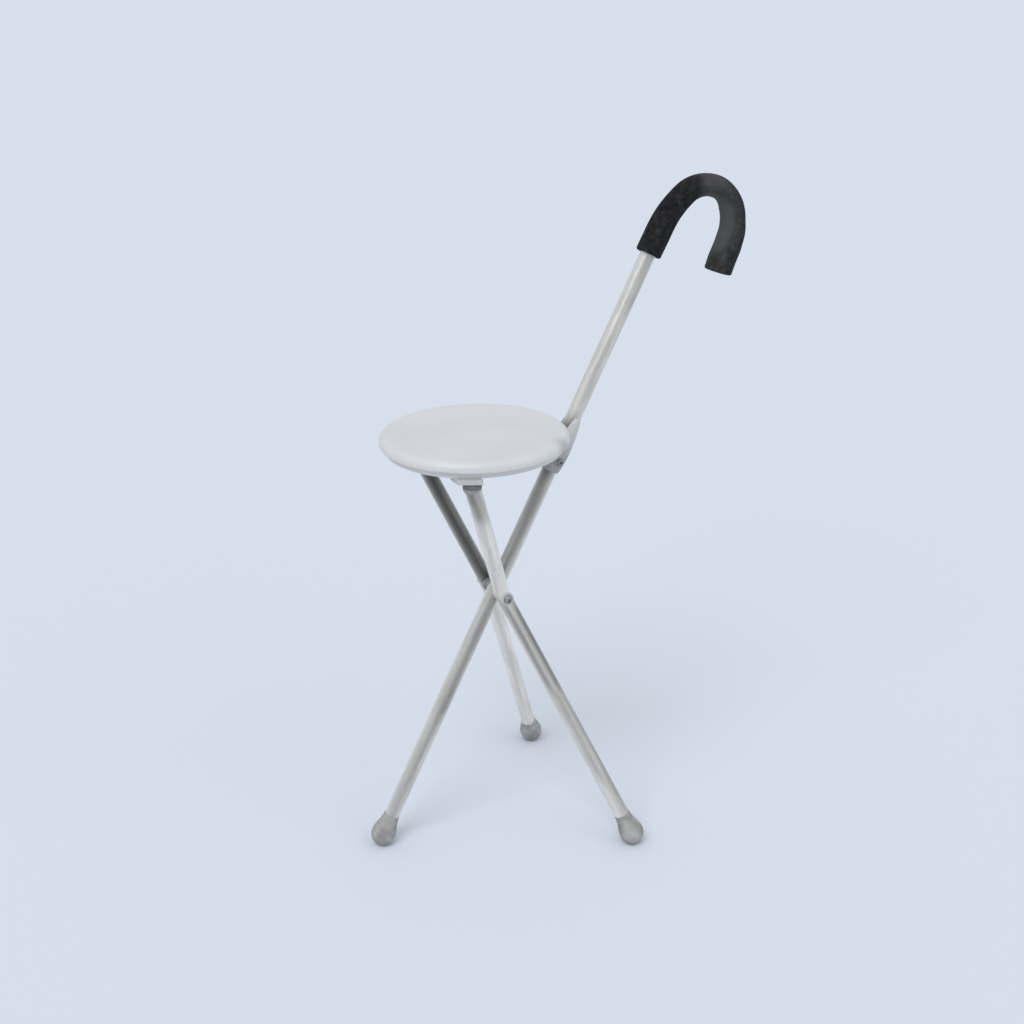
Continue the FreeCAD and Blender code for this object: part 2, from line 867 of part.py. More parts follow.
def belly_arc_radius(radius, length):
    """The arc that narrows the belly to radius over length, upright at the belly."""
    drop = d.bracket_belly_radius - radius
    return (length * length + drop * drop) / (2 * drop)


collar = outline(
    cane_bracket,
    "collar",
    "XZ",
    [
        (0, 0),
        (d.bracket_low_radius, 0, belly_arc_radius(d.bracket_low_radius, d.bracket_belly_up), 1),
        (
            d.bracket_belly_radius,
            d.bracket_belly_up,
            belly_arc_radius(d.bracket_high_radius, d.bracket_length - d.bracket_belly_up),
            1,
        ),
        (d.bracket_high_radius, d.bracket_length),
        (0, d.bracket_length),
    ],
)
revolve(cane_bracket, "barrel", collar)
ear_up = d.bracket_below_hinge
ear_room = 3.0
seat_side_wall = 0.9
seat_side = tube_radius + seat_side_wall
through = d.bracket_length * 2
seat_side_cut = outline(
    cane_bracket,
    "seat_side",
    "XZ",
    box_corners(-through, ear_up - ear_room, -seat_side, through),
)
pocket(cane_bracket, "seat_side_cut", seat_side_cut, through, both=True)
bolt_boss_radius = 6.0
bolt_boss = circles(
    cane_bracket, "bolt_boss", "XZ", [(0, d.bracket_bolt_up, bolt_boss_radius)]
)
pad(cane_bracket, "bolt_boss_rod", bolt_boss, d.bracket_half_width * 2, both=True)
cheek_top = ear_up - ear_room + 0.5
cheek_foot = ear_up - d.ear_radius * 4.4
ear_corners = [
    (2, cheek_foot),
    (-d.bracket_low_radius - 1.5, cheek_foot + 4),
    (-d.hinge_offset - d.ear_radius * 0.846, ear_up - d.ear_radius * 0.532),
    (-d.hinge_offset, cheek_top),
    (2, cheek_top),
]
cheeks = outline(cane_bracket, "cheeks", "XZ", ear_corners)
pad(cane_bracket, "cheek_block", cheeks, d.bracket_half_width * 2, both=True)
ears = circles(cane_bracket, "ears", "XZ", [(-d.hinge_offset, ear_up, d.ear_radius)])
pad(cane_bracket, "ear_rounds", ears, d.bracket_half_width * 2, both=True)
gap_floor = ear_up - d.ear_radius * 1.8
gap = outline(cane_bracket, "gap", "XZ", box_corners(-through, gap_floor, 0, through))
pocket(cane_bracket, "gap_cut", gap, d.cheek_inner * 2, both=True)
bore = circles(cane_bracket, "bore", "XY", [(0, 0, tube_radius)])
pocket(cane_bracket, "cane_hole", bore, through * 2, both=True)
bracket_holes = circles(
    cane_bracket,
    "holes",
    "XZ",
    [
        (0, d.bracket_bolt_up, d.hinge_bolt_radius),
        (-d.hinge_offset, ear_up, d.hinge_bolt_radius),
    ],
)
pocket(cane_bracket, "bolt_holes", bracket_holes, d.bracket_half_width * 4, both=True)

bolt_end = d.bracket_half_width + 4.2
make_bolt("bracket_bolt", bracket_bolt_along, 0, d.hinge_bolt_radius, d.bracket_half_width,
          bolt_end, size(4.6), size(2.6))
make_nut("bracket_nut", bracket_bolt_along, 0, d.hinge_bolt_radius, d.bracket_half_width,
         8.0, 3.6)
make_bolt("hinge_bolt", hinge_along, d.hinge_offset, d.hinge_bolt_radius,
          d.bracket_half_width, bolt_end, size(4.6), size(2.6))
make_nut("hinge_nut", hinge_along, d.hinge_offset, d.hinge_bolt_radius,
         d.bracket_half_width, 8.0, 3.6)

# Seat positions: X from the seat's middle towards the hinge, Z up from its middle plane
base_lift = -seat_half_height
top_lift = base_lift + d.seat_base_height
screw_circle = 88
screw_places = []
for angle in (15, 75, 135, 225, 285, 345):
    turned = math.radians(angle)
    screw_places.append((screw_circle * math.cos(turned), screw_circle * math.sin(turned)))

# Seat top: a round dished moulding with a hollow underside and the hinge knuckle
seat_top = new_body("seat_top")
place_on_seat(seat_top, top_lift)
dish_edge = d.seat_radius - 16
dish_radius = (dish_edge * dish_edge + d.seat_dish * d.seat_dish) / (2 * d.seat_dish)
seat_profile = outline(
    seat_top,
    "profile",
    "XZ",
    [
        (0, 0),
        (d.seat_radius, 0),
        (d.seat_radius, d.seat_top_height),
        (dish_edge, d.seat_top_height, dish_radius, -1),
        (0, d.seat_top_height - d.seat_dish),
    ],
)
revolve(seat_top, "disc", seat_profile)


def rim_at(height):
    """A test for the rim's edge at one height."""

    def wanted(edge, middle):
        at_rim = abs(math.hypot(middle.x, middle.y) - d.seat_radius.value) < 0.01
        return abs(middle.z - height) < 0.01 and at_rim

    return wanted


round_edges(seat_top, "rim_round", d.seat_rim_round, rim_at(d.seat_top_height.value))
round_edges(seat_top, "rim_under", 2.5, rim_at(0.0))
top_wall = 3.7
hollow_depth = d.seat_top_height - top_wall
hollow = circles(seat_top, "hollow", "XY", [(0, 0, d.seat_radius - d.seat_wall)])
pocket(seat_top, "hollow_cut", hollow, hollow_depth, flip=True)
boss_radius = 4.5
bosses = circles(seat_top, "bosses", "XY", [(x, y, boss_radius) for x, y in screw_places])
pad(seat_top, "boss_posts", bosses, hollow_depth + 0.5)
screw_radius = 1.6
boss_holes = circles(seat_top, "boss_holes", "XY", [(x, y, screw_radius) for x, y in screw_places])
pocket(seat_top, "boss_bores", boss_holes, hollow_depth - 1, flip=True)
notch_wall = 4
notch_start = d.hinge_reach - d.ear_radius - d.notch_clearance
notch_end = d.seat_radius * 2
closing_half_width = d.notch_half_width + notch_wall
closing = outline(
    seat_top,
    "closing",
    "XY",
    box_corners(
        notch_start - notch_wall, -closing_half_width, notch_start + 1, closing_half_width
    ),
)
pad(seat_top, "closing_wall", closing, hollow_depth + 0.5)
under_notch = box_corners(notch_start, -d.notch_half_width, notch_end, d.notch_half_width)
notch = outline(seat_top, "notch", "XY", under_notch)
pocket(seat_top, "notch_cut", notch, hollow_depth, flip=True)
rim_notch = outline(
    seat_top,
    "rim_notch",
    "XY",
    box_corners(
        d.hinge_reach + d.notch_clearance, -d.notch_half_width, notch_end, d.notch_half_width
    ),
)
pocket(seat_top, "rim_notch_cut", rim_notch, cut_length, both=True)
knuckle_up = -d.hinge_drop - top_lift
arm = outline(
    seat_top,
    "arm",
    "XZ",
    [
        (notch_start - 2, 0),
        (notch_start, 0),
        (notch_start, knuckle_up - d.knuckle_radius),
        (d.hinge_reach, knuckle_up - d.knuckle_radius),
        (d.hinge_reach, hollow_depth + 0.5),
        (notch_start - 2, hollow_depth + 0.5),
    ],
)
knuckle_width = (d.cheek_inner - d.side_clearance) * 2
pad(seat_top, "arm_block", arm, knuckle_width, both=True)
knuckle = circles(seat_top, "knuckle", "XZ", [(d.hinge_reach, knuckle_up, d.knuckle_radius)])
pad(seat_top, "knuckle_rod", knuckle, knuckle_width, both=True)
pin_hole = circles(seat_top, "pin_hole", "XZ", [(d.hinge_reach, knuckle_up, knuckle_hole)])
pocket(seat_top, "pin_bore", pin_hole, cut_length, both=True)

# Seat base: a ribbed plate that closes the underside and carries the sockets
seat_base = new_body("seat_base")
place_on_seat(seat_base, base_lift)
plate_low = 4.5
ring_width = 2.5
middle_ring = 68
inner_ring = 25
base_profile = outline(
    seat_base,
    "profile",
    "XZ",
    [
        (0, plate_low),
        (inner_ring, plate_low),
        (inner_ring, 0),
        (inner_ring + ring_width, 0),
        (inner_ring + ring_width, plate_low),
        (middle_ring, plate_low),
        (middle_ring, 0),
        (middle_ring + ring_width, 0),
        (middle_ring + ring_width, plate_low),
        (d.seat_base_radius - 3, plate_low),
        (d.seat_base_radius - 3, 0),
        (d.seat_base_radius - 1.5, 0),
        (d.seat_base_radius, 2),
        (d.seat_base_radius, d.seat_base_height),
        (0, d.seat_base_height),
    ],
)
revolve(seat_base, "plate", base_profile)
rib = outline(
    seat_base, "rib", "XZ",
    box_corners(inner_ring + 1, 0, d.seat_base_radius - 2, plate_low + 0.5),
)
first_rib = pad(seat_base, "rib_bar", rib, 2.4, both=True)
ribs = seat_base.newObject("PartDesign::PolarPattern", "seat_base_ribs")
ribs.Originals = [first_rib]
ribs.Axis = (origin_axis(seat_base, "Z"), [""])
ribs.Angle = 360
ribs.Occurrences = 12
seat_base.Tip = ribs
socket_left = -d.socket_back - 18.8
socket_right = -d.socket_back + 6.7
socket_inner = d.cap_spread - 18.4


def socket_outline(side, trim):
    """The plan of a socket block; side is 1 behind and -1 in front."""
    right_edge = root(trim * trim - socket_right * socket_right)
    left_edge = root(trim * trim - socket_left * socket_left)
    return [
        (socket_left, side * socket_inner),
        (socket_right, side * socket_inner),
        (socket_right, side * right_edge, trim, side),
        (socket_left, side * left_edge),
    ]


base_trim = d.seat_base_radius - 1
for word, side in (("front", -1), ("back", 1)):
    block = outline(seat_base, "socket_pad_" + word, "XY", socket_outline(side, base_trim))
    pad(seat_base, "socket_pad_block_" + word, block, plate_low + 0.5)
base_notch = outline(seat_base, "notch", "XY", under_notch)
pocket(seat_base, "notch_cut", base_notch, cut_length, both=True)
socket_screw_radius = 1.6
screw_across = (socket_left + 4.4, socket_right - 4.4)
screw_side = socket_inner + 4
socket_screws_at = []
for side in (1, -1):
    for across in screw_across:
        socket_screws_at.append((across, side * screw_side))
base_holes = circles(
    seat_base,
    "holes",
    "XY",
    [(x, y, screw_radius) for x, y in screw_places]
    + [(x, y, socket_screw_radius) for x, y in socket_screws_at],
)
pocket(seat_base, "screw_holes", base_holes, cut_length, both=True)

# Leg sockets: blocks under the rim, open below and towards the cane
for word, side in (("front", -1), ("back", 1)):
    socket = new_body("leg_socket_" + word)
    place_on_seat(socket, base_lift - d.socket_height)
    plan = outline(socket, "plan", "XY", socket_outline(side, d.socket_trim_radius))
    pad(socket, "block", plan, d.socket_height)
    round_edges(socket, "lower_round", 1.0, lambda edge, middle: abs(middle.z) < 0.01)
    slot_round = circles(socket, "slot_round", "XY",
                         [(-d.socket_back, side * d.cap_spread, slot_radius)])
    pocket(socket, "slot_end", slot_round, socket_depth, flip=True)
    low_side = side * d.cap_spread - slot_radius
    high_side = side * d.cap_spread + slot_radius
    slot = outline(socket, "slot", "XY", box_corners(-d.socket_back, low_side, 0, high_side))
    pocket(socket, "slot_cut", slot, socket_depth, flip=True)
    places = [(across, side * screw_side) for across in screw_across]
    holes = circles(socket, "holes", "XY", [(x, y, socket_screw_radius) for x, y in places])
    pocket(socket, "screw_holes", holes, cut_length, both=True)


# Screws: the seat's and the sockets', each kind as one group
def make_screws(name, places, lift, radius, head_radius, head_height, length):
    body = new_body(name)
    place_on_seat(body, lift)
    heads = circles(body, "heads", "XY", [(x, y, head_radius) for x, y in places])
    pad(body, "head_discs", heads, head_height, flip=True)
    shanks = circles(body, "shanks", "XY", [(x, y, radius) for x, y in places])
    pad(body, "shank_rods", shanks, length)
    return body


make_screws("seat_screws", screw_places, base_lift + plate_low, screw_radius, 3.6, 2.0, 10)
make_screws("socket_screws", socket_screws_at, base_lift - d.socket_height,
            socket_screw_radius, 3.3, 1.8, 13)

doc.recompute()
for item in doc.Objects:
    state = " ".join(item.State)
    if "Invalid" in state or "Error" in state:
        raise RuntimeError("%s: %s" % (item.Name, state))
for body in bodies:
    shape = body.Shape
    if shape.isNull() or not shape.isValid() or not shape.Solids:
        raise RuntimeError("bad shape: " + body.Name)
for body in bodies:
    body.Shape.exportStep("parts/%s.step" % body.Label)
print("bodies", len(bodies))
print("hub", hub_across.value, hub_height.value)
print("hinge", hinge_across.value, hinge_height.value)
print("leg foot", hub_across.value + (hub_height.value - ball_height.value)
      * tangent(leg_plane_lean).value, foot_spread.value)
print("leg angles", leg_plane_lean.value, leg_splay.value)
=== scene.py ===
import bpy
import math
from mathutils import Matrix, Vector


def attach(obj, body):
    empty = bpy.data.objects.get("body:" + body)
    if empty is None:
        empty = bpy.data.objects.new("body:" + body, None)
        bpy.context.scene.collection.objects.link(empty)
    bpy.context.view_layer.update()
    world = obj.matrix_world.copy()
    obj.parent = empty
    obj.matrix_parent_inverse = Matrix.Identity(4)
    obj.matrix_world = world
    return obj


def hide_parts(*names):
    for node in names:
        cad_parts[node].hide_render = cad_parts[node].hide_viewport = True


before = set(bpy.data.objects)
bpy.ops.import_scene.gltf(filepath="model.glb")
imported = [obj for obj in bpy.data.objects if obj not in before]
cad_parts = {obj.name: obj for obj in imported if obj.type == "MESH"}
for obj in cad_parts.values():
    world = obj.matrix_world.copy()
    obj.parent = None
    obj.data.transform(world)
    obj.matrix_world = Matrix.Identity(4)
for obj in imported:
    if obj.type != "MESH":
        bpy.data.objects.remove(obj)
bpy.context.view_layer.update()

# The view: the photograph looks across the cane's plane from the front left, and down about
# 22 degrees, with a lens of normal length.
camera_place = Vector((-0.512, -1.389, 1.055))
view_turn = math.radians(26.7)
view_drop = math.radians(21.91)
camera_data = bpy.data.cameras.new("camera")
camera_data.lens = 47.53
camera_data.sensor_width = 36.0
camera_data.clip_start = 0.05
camera_data.clip_end = 400.0
camera = bpy.data.objects.new("camera", camera_data)
bpy.context.scene.collection.objects.link(camera)
look = Vector((math.sin(view_turn) * math.cos(view_drop),
               math.cos(view_turn) * math.cos(view_drop),
               -math.sin(view_drop)))
camera.matrix_world = (Matrix.Translation(camera_place)
                       @ look.to_track_quat("-Z", "Y").to_matrix().to_4x4())
bpy.context.scene.camera = camera


# The floor and the light: one pale blue ground and the same colour all round, a broad soft key
# from the upper left and a weaker fill, both as suns so that the ground is even.
class Wire:
    """A node socket that Python's operators work on, or the whole tree it belongs to."""

    def __init__(self, tree, socket=None):
        self.tree = tree
        self.socket = socket

    def node(self, kind, settings=None, inputs=None, out=0):
        made = self.tree.nodes.new("ShaderNode" + kind)
        for key, value in (settings or {}).items():
            if key == "stops":
                ramp = made.color_ramp
                while len(ramp.elements) < len(value):
                    ramp.elements.new(0.5)
                for element, (place, colour) in zip(ramp.elements, value):
                    element.position = place
                    element.color = tuple(colour) + (1.0,)
            else:
                setattr(made, key, value)
        for key, value in (inputs or {}).items():
            if isinstance(value, Wire):
                self.tree.links.new(value.socket, made.inputs[key])
            else:
                made.inputs[key].default_value = value
        return Wire(self.tree, made.outputs[out])

    def output(self, name):
        return Wire(self.tree, self.socket.node.outputs[name])

    def maths(self, operation, other):
        return self.node("Math", {"operation": operation}, {0: self, 1: other})

    def __add__(self, other):
        return self.maths("ADD", other)

    def __radd__(self, other):
        return self.maths("ADD", other)

    def __sub__(self, other):
        return self.maths("SUBTRACT", other)

    def __rsub__(self, other):
        return self.node("Math", {"operation": "SUBTRACT"}, {0: other, 1: self})

    def __mul__(self, other):
        return self.maths("MULTIPLY", other)

    def __rmul__(self, other):
        return self.maths("MULTIPLY", other)

    def step(self, low, high):
        """0 below low, 1 above high, smooth between."""
        return self.node("MapRange", {"interpolation_type": "SMOOTHSTEP"},
                         {"Value": self, "From Min": low, "From Max": high})

    def mix(self, first, second):
        """first where self is 0, second where it is 1; both are colours."""
        return self.node("Mix", {"data_type": "RGBA"}, {0: self, 6: first, 7: second}, out=2)

    def ramp(self, *stops):
        """The colour at self of a ramp through stops, each a place and a colour."""
        return self.node("ValToRGB", {"stops": stops}, {0: self})

    def noise(self, scale, detail, roughness):
        """Cloudy noise at the point that self is."""
        return self.node("TexNoise", None, {"Vector": self, "Scale": scale, "Detail": detail,
                                            "Roughness": roughness})

    def bump(self, strength, distance):
        """The normal of a surface whose relief is self."""
        return self.node("Bump", None, {"Strength": strength, "Distance": distance,
                                        "Height": self})


def new_material(name):
    material = bpy.data.materials.new(name)
    material.use_nodes = True
    material.node_tree.nodes.clear()
    return material, Wire(material.node_tree)


def surface(wire, shader):
    output = wire.tree.nodes.new("ShaderNodeOutputMaterial")
    wire.tree.links.new(shader.socket, output.inputs["Surface"])


def rgb(red, green, blue):
    return (red, green, blue, 1.0)


ground_colour = rgb(0.672, 0.738, 0.831)
floor_radius = 150.0
bpy.ops.object.select_all(action="DESELECT")
bpy.ops.mesh.primitive_circle_add(vertices=96, radius=floor_radius, fill_type="NGON")
floor = bpy.context.object
floor.name = "studio_floor"
floor_material, w = new_material("studio_floor")
surface(w, w.node("BsdfDiffuse", None, {"Color": ground_colour}))
floor.data.materials.append(floor_material)

sky_strength = 0.69
world = bpy.data.worlds.new("studio")
bpy.context.scene.world = world
world.use_nodes = True
world.node_tree.nodes.clear()
w = Wire(world.node_tree)
rays = w.node("LightPath")
shown = rays.output("Is Camera Ray").maths("MAXIMUM", rays.output("Is Glossy Ray"))
shown = shown.maths("MAXIMUM", rays.output("Is Transmission Ray"))
colour = shown.mix(rgb(1.0, 1.0, 1.0), ground_colour)
background = w.node("Background", None,
                    {"Color": colour, "Strength": shown * (1.0 - sky_strength) + sky_strength})
world_output = world.node_tree.nodes.new("ShaderNodeOutputWorld")
world.node_tree.links.new(background.socket, world_output.inputs["Surface"])


def sun(name, strength, azimuth, elevation, size):
    """A sun whose light comes from azimuth (from +X towards +Y) and elevation, in degrees."""
    data = bpy.data.lights.new(name, "SUN")
    data.energy = strength
    data.angle = math.radians(size)
    lamp = bpy.data.objects.new(name, data)
    bpy.context.scene.collection.objects.link(lamp)
    turn = math.radians(azimuth)
    rise = math.radians(elevation)
    source = Vector((math.cos(turn) * math.cos(rise), math.sin(turn) * math.cos(rise),
                     math.sin(rise)))
    lamp.rotation_euler = source.to_track_quat("Z", "Y").to_euler()


sun("key", strength=1.05, azimuth=215, elevation=52, size=34)
sun("fill", strength=0.28, azimuth=300, elevation=35, size=50)
bpy.context.scene.view_settings.view_transform = "Standard"

# Aluminium tubes: the cane and the two bent legs are drawn 19 mm tube, satin anodised. Light
# and dark bands are painted along the front of each run of tube as painted reflections and
# painted shade, with fine die lines and streaks in them; the back is plain satin.
tube_radius = 0.0095
cane_lean = math.radians(27.3)
cane_axis = Vector((math.sin(cane_lean), 0.0, math.cos(cane_lean)))
cane_foot_centre = Vector((0.0, 0.0, 0.0148))
leg_lean = math.radians(21.797)
leg_splay = math.radians(19.555)
front = Vector((-0.45, -0.89, 0.0))
metal_tint = (1.06, 1.0, 0.92)
plain_metal = rgb(0.63, 0.60, 0.57)
zone_blend = 0.014
streak_length = 0.1


def leg_axis(side, upper):
    """Unit vector up the upper or lower half of a leg; side is -1 in front, 1 behind."""
    out = side if upper else -side
    return Vector((-math.sin(leg_lean) * math.cos(leg_splay), out * math.sin(leg_splay),
                   math.cos(leg_lean) * math.cos(leg_splay)))


def cane_runs(zones):
    """zones are (height, painted_bands of painted reflection and shade)."""
    return [(low, cane_axis, cane_foot_centre, painted_bands) for low, painted_bands in zones]


def leg_runs(side, zones):
    """zones are (height, whether it lies in the leg's upper half, painted_bands of painted
    reflection and shade).
    """
    foot_centre = Vector((0.28898, side * 0.14201, 0.0148))
    cap_centre = Vector((0.0911, side * 0.0899, 0.5095))
    return [(low, leg_axis(side, upper), cap_centre if upper else foot_centre, painted_bands)
            for low, upper, painted_bands in zones]


def dot(w, place, line, centre, size):
    """How far a point lies from centre along line, in units of size."""
    reach = w.node("VectorMath", {"operation": "DOT_PRODUCT"}, {0: place, 1: line / size},
                   out="Value")
    return reach - centre.dot(line) / size


def tube_metal(name, runs):
    """runs go up the tube: the height each starts at, its axis, a point of its centre line,
    and its painted_bands of painted reflection and shade as (place across the front from -1,
    left, to 1, right, and grey)."""
    material, w = new_material(name)
    place = w.node("TexCoord", None, None, out="Object")
    height = w.node("SeparateXYZ", None, {0: place}, out="Z")
    colour = None
    for low, axis, centre, painted_bands in runs:
        facing = (front - axis * front.dot(axis)).normalized()
        rightward = axis.cross(facing).normalized()
        across = dot(w, place, rightward, centre, tube_radius)
        outward = dot(w, place, facing, centre, tube_radius)
        lengthwise = dot(w, place, axis, centre, streak_length)
        lie = w.node("CombineXYZ", None, {"X": across, "Y": outward, "Z": lengthwise})
        broad = lie.noise(1.3, 2.0, 0.5)
        fine = lie.noise(8.0, 3.0, 0.65)
        lines = broad * 0.6 + fine * 0.4
        stops = [((at + 1.0) / 2.0, [grey * share for share in metal_tint])
                 for at, grey in painted_bands]
        painted_banding = (across * 0.5 + 0.5 + (lines - 0.5) * 0.12).ramp(*stops)
        painted = outward.step(-0.55, 0.15).mix(plain_metal, painted_banding)
        streak_tone = lines.step(0.36, 0.64).mix(rgb(0.86, 0.86, 0.86), rgb(1.10, 1.10, 1.10))
        toned = w.node("Mix", {"data_type": "RGBA", "blend_type": "MULTIPLY"},
                       {0: 1.0, 6: painted, 7: streak_tone}, out=2)
        if colour is None:
            colour = toned
            grain = fine
        else:
            above = height.step(low - zone_blend, low + zone_blend)
            colour = above.mix(colour, toned)
            grain = grain * (1.0 - above) + fine * above
    cloud = place.noise(40.0, 4.0, 0.6)
    bump = grain.bump(0.15, 0.0002)
    surface(w, w.node("BsdfPrincipled", None,
                      {"Base Color": colour, "Metallic": 0.72, "Normal": bump,
                       "Roughness": 0.25 + grain * 0.14 + cloud * 0.10}))
    return material


def dress(material, *names):
    for name in names:
        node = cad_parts[name]
        node.data.materials.clear()
        node.data.materials.append(material)


# The bands are painted reflections and painted shade; the darkest runs, just under the seat, are
# painted shade of the seat.
dress(tube_metal("cane_metal", cane_runs((
    (0.00, ((-1.0, 0.79), (-0.75, 0.60), (-0.3, 0.46), (0.1, 0.42), (0.45, 0.54), (0.9, 0.78))),
    (0.17, ((-1.0, 0.74), (-0.7, 0.57), (-0.2, 0.41), (0.2, 0.34), (0.5, 0.41), (0.9, 0.68))),
    (0.34, ((-1.0, 0.62), (-0.7, 0.42), (-0.2, 0.31), (0.1, 0.34), (0.5, 0.54), (0.9, 0.76))),
    (0.47, ((-1.0, 0.46), (-0.6, 0.24), (-0.2, 0.16), (0.1, 0.24), (0.5, 0.45), (0.9, 0.70))),
    (0.54, ((-1.0, 0.76), (-0.5, 0.64), (-0.2, 0.57), (0.1, 0.57), (0.5, 0.64), (0.9, 0.72))),
    (0.67, ((-1.0, 0.76), (-0.5, 0.62), (-0.2, 0.54), (0.1, 0.52), (0.6, 0.47),
            (0.95, 0.66)))))), "cane_tube")
dress(tube_metal("front_leg_metal", leg_runs(-1, (
    (0.00, False, ((-1.0, 0.82), (-0.4, 0.77), (0.0, 0.66), (0.4, 0.54), (0.8, 0.46),
                   (1.0, 0.55))),
    (0.09, False, ((-1.0, 0.82), (-0.7, 0.76), (-0.3, 0.58), (0.1, 0.51), (0.5, 0.53),
                   (0.9, 0.46))),
    (0.21, False, ((-1.0, 0.82), (-0.7, 0.72), (-0.3, 0.32), (0.0, 0.38), (0.25, 0.60),
                   (0.5, 0.44), (0.8, 0.24), (1.0, 0.34))),
    (0.325, True, ((-1.0, 0.82), (-0.5, 0.80), (0.0, 0.76), (0.5, 0.80), (1.0, 0.82))),
    (0.460, True, ((-1.0, 0.74), (-0.5, 0.50), (-0.1, 0.36), (0.3, 0.48), (0.7, 0.56),
                   (1.0, 0.66))),
    (0.485, True, ((-1.0, 0.56), (-0.5, 0.27), (-0.1, 0.28), (0.2, 0.42), (0.7, 0.50),
                   (1.0, 0.64)))))), "leg_front_tube")
dress(tube_metal("back_leg_metal", leg_runs(1, (
    (0.00, False, ((-1.0, 0.86), (-0.4, 0.79), (0.1, 0.72), (0.6, 0.80), (1.0, 0.86))),
    (0.322, True, ((-1.0, 0.66), (-0.75, 0.42), (-0.5, 0.26), (-0.2, 0.15), (0.2, 0.095),
                   (0.55, 0.115), (0.8, 0.20), (1.0, 0.36)))))), "leg_back_tube")


# Plug: a black moulded plug closes the end of the cane's tube under the foam, so that the
# tube's edge doesn't cut it. It is pressed in before the grip goes on.
def moulded(name, dark, pale, roughness, below=None, above=None, patch=None):
    """A satin plastic between two tones. below and above are a colour and the two heights
    between which it gives way or takes over; patch is a colour, its centre and the two
    distances between which it gives way."""
    material, w = new_material(name)
    place = w.node("TexCoord", None, None, out="Object")
    grain = place.noise(1600.0, 3.0, 0.55)
    flow = place.noise(9.0, 4.0, 0.55)
    colour = (flow * 0.8 + grain * 0.2).ramp((0.32, dark), (0.68, pale))
    if below is not None:
        low_colour, low, high = below
        height = w.node("SeparateXYZ", None, {0: place}, out="Z")
        colour = height.step(low, high).mix(rgb(*low_colour), colour)
    if above is not None:
        high_colour, low, high = above
        height = w.node("SeparateXYZ", None, {0: place}, out="Z")
        colour = height.step(low, high).mix(colour, rgb(*high_colour))
    if patch is not None:
        patch_colour, centre, near, far = patch
        apart = w.node("VectorMath", {"operation": "DISTANCE"}, {0: place, 1: centre},
                       out="Value")
        colour = apart.step(near, far).mix(rgb(*patch_colour), colour)
    bump = grain.bump(0.10, 0.0002)
    surface(w, w.node("BsdfPrincipled", None,
                      {"Base Color": colour, "Roughness": roughness + flow * 0.12,
                       "Normal": bump}))
    return material


dress(moulded("plug_plastic", (0.022, 0.022, 0.024), (0.038, 0.038, 0.040), 0.45),
      "grip_end_plug")

# Foam grip: a thick sleeve of dark closed-cell foam pushed over the crook. It is stretched
# thinner where the crook turns and pushed up thicker at its free end, and rounded at both ends.
# The half under the hand, the inside of the bend and the crown of the crook are painted paler:
# a painted highlight and sheen.
shoulder_centre = Vector((0.120, 0.0, 0.839))
shoulder_bend = 0.120
shoulder_sweep = 25.6
crook_centre = Vector((0.0539, 0.0, 0.87067))
crook_bend = 0.0467
crook_sweep = 145.7
sleeve_start = 0.8086
tail_length = 0.0472
mouth_radius = 0.0149
mouth_flare = 1.08
lip_radius = 0.0100
lip_depth = 0.003
limb_steps = 8
shoulder_steps = 16
crook_steps = 53
tail_steps = 13
# How far along the tube's line, the radius there, and how far outside that line the middle lies.
sleeve_shape = ((0.000, 0.0164, 0.0000), (0.029, 0.0164, -0.0005), (0.083, 0.0153, 0.0000),
                (0.117, 0.0140, 0.0006), (0.142, 0.0138, 0.0014), (0.152, 0.0143, 0.0010),
                (0.166, 0.0158, -0.0001), (0.186, 0.0162, -0.0007), (0.204, 0.0175, 0.0009),
                (0.220, 0.0179, 0.0012), (0.238, 0.0181, -0.0006), (0.260, 0.0180, -0.0008))


def cane_frame():
    """Takes a shape modelled with the cane upright to where the cane leans."""
    return (Matrix.Translation(cane_foot_centre)
            @ Matrix.Rotation(cane_lean, 4, Vector((0.0, 1.0, 0.0))))


def pull_ring(way, length):
    bpy.ops.mesh.extrude_region_move(TRANSFORM_OT_translate={"value": way * length})


def scale_ring(factor):
    bpy.ops.transform.resize(value=(factor, factor, factor))


def sleeve_at(along):
    """The sleeve's radius and shift at a distance along the tube's line."""
    for first, second in zip(sleeve_shape, sleeve_shape[1:]):
        if along <= second[0]:
            part = (along - first[0]) / (second[0] - first[0])
            return (first[1] + (second[1] - first[1]) * part,
                    first[2] + (second[2] - first[2]) * part)
    return sleeve_shape[-1][1:]


def draw_ring(ring, along, heading):
    """Gives the sleeve's open end the radius and shift for along; ring is what it has now."""
    radius, shift = sleeve_at(along)
    outward = Vector((-math.cos(heading), 0.0, math.sin(heading)))
    bpy.ops.transform.translate(value=outward * (shift - ring[1]))
    scale_ring(radius / ring[0])
    return radius, shift


